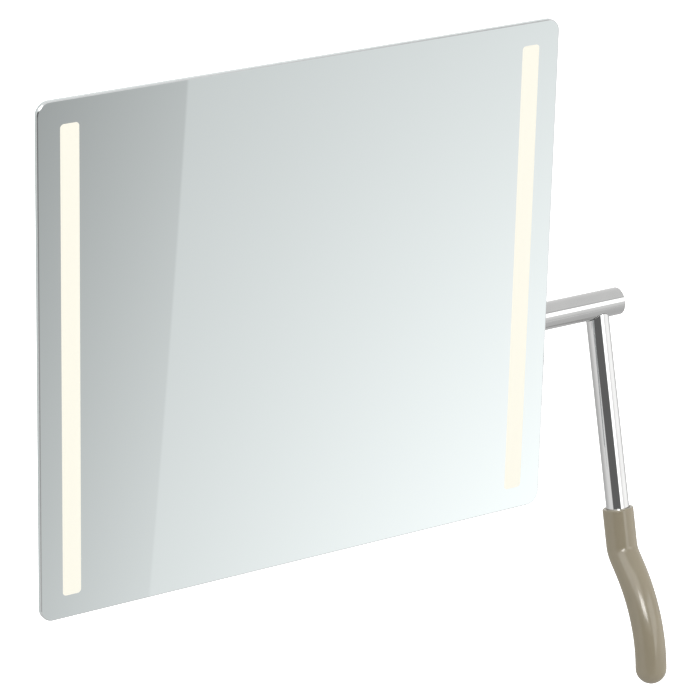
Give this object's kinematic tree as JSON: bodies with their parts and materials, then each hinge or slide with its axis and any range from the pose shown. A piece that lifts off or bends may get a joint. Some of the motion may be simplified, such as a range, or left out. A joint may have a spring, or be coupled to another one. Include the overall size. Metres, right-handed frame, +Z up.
{
  "type": "tilting wall mirror",
  "caption": "Frameless wall mirror with two lit strips, tilting on a horizontal tube that a side lever with a bent, rounded grip turns.",
  "frame": {"origin": "centre of the wall plate's back face, on the wall, level with the tilt axis", "axes": "+Z up, -Y towards the viewer, +Y into the wall, +X to the lever's side"},
  "size_m": [0.725, 0.1944, 0.7399],
  "materials": {
    "mirror": "silvered float glass with polished, arrised edges and two frosted light windows",
    "safety_film": "grey shatter-protection film",
    "foam_tape": "black acrylic foam bonding tape",
    "tray_coating": "folded sheet, light grey powder coat",
    "plate_coating": "pressed steel, white powder coat",
    "cast_aluminium": "machined and blasted blocks",
    "extruded_aluminium": "mill-finish extrusion",
    "bush_polymer": "self-lubricating bearing polymer",
    "zinc_steel": "zinc-plated steel",
    "rubber": "black moulded rubber",
    "satin_chrome": "satin chrome",
    "bright_chrome": "bright chrome",
    "grip_polyamide": "glossy taupe polyamide",
    "opal_diffuser": "opal diffuser, warm white when lit",
    "circuit_board": "white-masked circuit board with small lamps",
    "housing_plastic": "white fine-textured plastic",
    "terminal_plastic": "white terminal plastic",
    "gland_polymer": "grey gland polymer",
    "lead_insulation": "white cable sheath"
  },
  "bodies": {
    "wall_bracket": {"bearing_base_left": "cast_aluminium", "bearing_base_right": "cast_aluminium", "bearing_cap_left": "cast_aluminium", "bearing_cap_right": "cast_aluminium", "bush_front_left": "bush_polymer", "bush_front_right": "bush_polymer", "bush_rear_left": "bush_polymer", "bush_rear_right": "bush_polymer", "cap_screw_left_lower": "zinc_steel", "cap_screw_left_upper": "zinc_steel", "cap_screw_right_lower": "zinc_steel", "cap_screw_right_upper": "zinc_steel", "rest_bumper": "rubber", "stop_fork": "zinc_steel", "tilt_bumper": "rubber", "wall_grommet": "rubber", "wall_plate": "plate_coating"},
    "mirror_unit": {"bond_tape_lower": "foam_tape", "bond_tape_upper": "foam_tape", "cable_gland": "gland_polymer", "carrier_tray": "tray_coating", "collar_screw_left": "zinc_steel", "collar_screw_right": "zinc_steel", "cover_screw_1": "zinc_steel", "cover_screw_2": "zinc_steel", "cover_screw_3": "zinc_steel", "cover_screw_4": "zinc_steel", "diffuser_left": "opal_diffuser", "diffuser_right": "opal_diffuser", "driver_screw_1": "zinc_steel", "driver_screw_2": "zinc_steel", "grip": "grip_polyamide", "grip_core": "zinc_steel", "lamp_lead_left": "lead_insulation", "lamp_lead_right": "lead_insulation", "led_board_left": "circuit_board", "led_board_right": "circuit_board", "led_channel_left": "extruded_aluminium", "led_channel_right": "extruded_aluminium", "led_driver": "housing_plastic", "lever_screw": "zinc_steel", "lever_spigot": "zinc_steel", "lever_tube": "bright_chrome", "mirror_glass": "mirror", "pivot_tube": "satin_chrome", "rear_cover": "housing_plastic", "shatter_film": "safety_film", "stop_collar_left": "zinc_steel", "strap_screw_left_lower": "zinc_steel", "strap_screw_left_upper": "zinc_steel", "strap_screw_right_lower": "zinc_steel", "strap_screw_right_upper": "zinc_steel", "terminal_block": "terminal_plastic", "thrust_collar_right": "zinc_steel", "tube_plug_left": "bright_chrome", "tube_plug_right": "bright_chrome", "tube_saddle_left": "cast_aluminium", "tube_saddle_right": "cast_aluminium", "tube_strap_left": "cast_aluminium", "tube_strap_right": "cast_aluminium"}
  },
  "joints": [
    {"name": "tilt", "type": "hinge", "parent": "wall_bracket", "child": "mirror_unit", "pos_m": [0, -0.045, 0], "axis": [1, 0, 0], "range_deg": [0, 20]}
  ]
}
